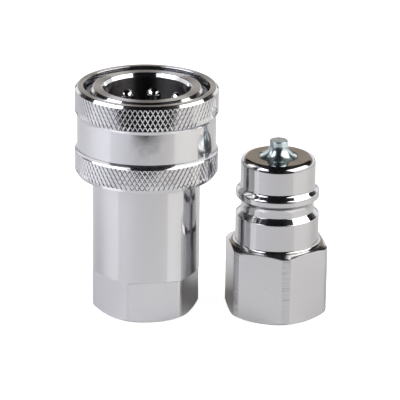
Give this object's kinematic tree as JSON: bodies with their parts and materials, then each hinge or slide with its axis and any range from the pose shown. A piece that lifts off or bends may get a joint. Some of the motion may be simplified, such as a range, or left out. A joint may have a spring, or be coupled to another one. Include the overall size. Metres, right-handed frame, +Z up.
{
  "type": "hydraulic quick coupler",
  "caption": "Poppet quick coupler, its halves standing apart: a ball-lock socket with a knurled sliding sleeve, and a grooved plug, each with a sprung valve and a threaded port.",
  "frame": {"origin": "centre of the socket's base, in the mouth of its port", "axes": "+Z up along the socket's axis towards its coupling mouth, +X from the socket towards the plug that stands beside it"},
  "size_m": [0.0718, 0.0404, 0.0662],
  "materials": {
    "bright_zinc_steel": "bright zinc plated, turned",
    "blue_zinc_steel": "clear blue zinc plated",
    "ball_steel": "polished",
    "spring_steel": "drawn wire",
    "nitrile_rubber": "moulded, matt",
    "ptfe": "skived, waxy"
  },
  "bodies": {
    "housings": {"socket_body": "bright_zinc_steel", "sleeve_spring": "spring_steel", "sleeve_stop_ring": "spring_steel", "probe_seal": "nitrile_rubber", "probe_backup_ring": "ptfe", "socket_poppet_spring": "spring_steel", "socket_valve_guide": "blue_zinc_steel", "socket_guide_ring": "spring_steel", "plug_body": "bright_zinc_steel", "plug_poppet_spring": "spring_steel", "plug_valve_guide": "blue_zinc_steel", "plug_guide_ring": "spring_steel"},
    "sleeve": {"locking_sleeve": "bright_zinc_steel"},
    "socket_valve": {"socket_poppet": "blue_zinc_steel", "socket_poppet_seal": "nitrile_rubber"},
    "plug_valve": {"plug_poppet": "blue_zinc_steel", "plug_poppet_seal": "nitrile_rubber"},
    "ball_01": {"locking_ball_01": "ball_steel"},
    "ball_02": {"locking_ball_02": "ball_steel"},
    "ball_03": {"locking_ball_03": "ball_steel"},
    "ball_04": {"locking_ball_04": "ball_steel"},
    "ball_05": {"locking_ball_05": "ball_steel"},
    "ball_06": {"locking_ball_06": "ball_steel"},
    "ball_07": {"locking_ball_07": "ball_steel"},
    "ball_08": {"locking_ball_08": "ball_steel"},
    "ball_09": {"locking_ball_09": "ball_steel"},
    "ball_10": {"locking_ball_10": "ball_steel"}
  },
  "joints": [
    {"name": "sleeve_slide", "type": "slide", "parent": "housings", "child": "sleeve", "axis": [0, 0, -1], "range_m": [0, 0.005], "stiffness_N_per_m": 4000, "springref_m": -0.005, "deforming": ["sleeve_spring"]},
    {"name": "socket_valve_slide", "type": "slide", "parent": "housings", "child": "socket_valve", "axis": [0, 0, -1], "range_m": [0, 0.005], "stiffness_N_per_m": 2500, "springref_m": -0.004, "deforming": ["socket_poppet_spring"]},
    {"name": "plug_valve_slide", "type": "slide", "parent": "housings", "child": "plug_valve", "axis": [0, 0, -1], "range_m": [0, 0.005], "stiffness_N_per_m": 2500, "springref_m": -0.004, "deforming": ["plug_poppet_spring"]},
    {"name": "ball_01_slide", "type": "slide", "parent": "housings", "child": "ball_01", "axis": [0.1305, 0.9914, 0], "range_m": [0, 0.0016]},
    {"name": "ball_02_slide", "type": "slide", "parent": "housings", "child": "ball_02", "axis": [0.6884, 0.7254, 0], "range_m": [0, 0.0016]},
    {"name": "ball_03_slide", "type": "slide", "parent": "housings", "child": "ball_03", "axis": [0.9833, 0.1822, 0], "range_m": [0, 0.0016]},
    {"name": "ball_04_slide", "type": "slide", "parent": "housings", "child": "ball_04", "axis": [0.9026, -0.4305, 0], "range_m": [0, 0.0016]},
    {"name": "ball_05_slide", "type": "slide", "parent": "housings", "child": "ball_05", "axis": [0.4772, -0.8788, 0], "range_m": [0, 0.0016]},
    {"name": "ball_06_slide", "type": "slide", "parent": "housings", "child": "ball_06", "axis": [-0.1305, -0.9914, 0], "range_m": [0, 0.0016]},
    {"name": "ball_07_slide", "type": "slide", "parent": "housings", "child": "ball_07", "axis": [-0.6884, -0.7254, 0], "range_m": [0, 0.0016]},
    {"name": "ball_08_slide", "type": "slide", "parent": "housings", "child": "ball_08", "axis": [-0.9833, -0.1822, 0], "range_m": [0, 0.0016]},
    {"name": "ball_09_slide", "type": "slide", "parent": "housings", "child": "ball_09", "axis": [-0.9026, 0.4305, 0], "range_m": [0, 0.0016]},
    {"name": "ball_10_slide", "type": "slide", "parent": "housings", "child": "ball_10", "axis": [-0.4772, 0.8788, 0], "range_m": [0, 0.0016]}
  ],
  "couplings": [
    {"joint": "ball_01_slide", "follows": "sleeve_slide", "ratio": 0.314},
    {"joint": "ball_02_slide", "follows": "sleeve_slide", "ratio": 0.314},
    {"joint": "ball_03_slide", "follows": "sleeve_slide", "ratio": 0.314},
    {"joint": "ball_04_slide", "follows": "sleeve_slide", "ratio": 0.314},
    {"joint": "ball_05_slide", "follows": "sleeve_slide", "ratio": 0.314},
    {"joint": "ball_06_slide", "follows": "sleeve_slide", "ratio": 0.314},
    {"joint": "ball_07_slide", "follows": "sleeve_slide", "ratio": 0.314},
    {"joint": "ball_08_slide", "follows": "sleeve_slide", "ratio": 0.314},
    {"joint": "ball_09_slide", "follows": "sleeve_slide", "ratio": 0.314},
    {"joint": "ball_10_slide", "follows": "sleeve_slide", "ratio": 0.314}
  ]
}
